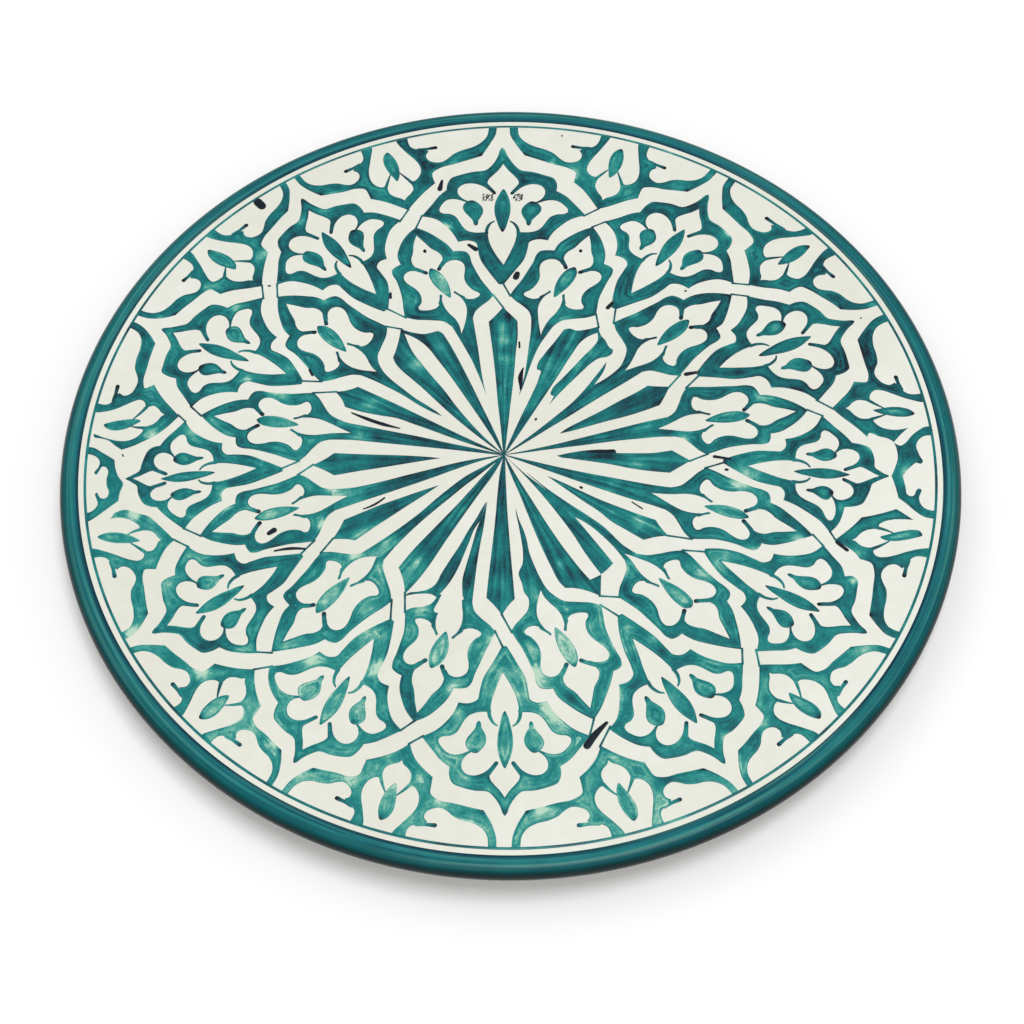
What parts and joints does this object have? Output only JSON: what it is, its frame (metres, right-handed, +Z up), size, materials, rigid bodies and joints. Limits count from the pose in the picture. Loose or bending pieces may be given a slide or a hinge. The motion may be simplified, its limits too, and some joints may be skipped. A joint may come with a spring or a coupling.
{
  "type": "hand painted ceramic plate",
  "caption": "Large shallow serving plate of tin-glazed earthenware on a low foot ring, painted in copper green with a star and interlaced arches.",
  "frame": {"origin": "middle of the plane that the foot ring stands on", "axes": "+Z up through the middle of the plate, +Y towards the far side of the rim, +X to the right"},
  "size_m": [0.3999, 0.4, 0.022],
  "materials": {
    "clay": "matt fired earthenware",
    "white_glaze": "glossy white tin glaze",
    "back_glaze": "glossy thin white glaze over the clay",
    "rim_green": "glossy copper green glaze",
    "painted_green": "glossy painted copper green",
    "star_green": "glossy painted dark copper green"
  },
  "bodies": {
    "root": {"clay_body": "clay", "foot_ring": "clay", "face_glaze": "white_glaze", "back_glaze": "back_glaze", "well_glaze": "back_glaze", "rim_glaze": "rim_green", "ring_line": "painted_green", "star_kites": "star_green", "star_wedges": "star_green", "arch_grounds": "painted_green", "inner_grounds": "painted_green", "palmette_almonds": "painted_green", "palmette_drops": "painted_green", "bud_almonds": "painted_green", "border_strokes": "painted_green", "border_almonds": "painted_green"}
  },
  "joints": []
}
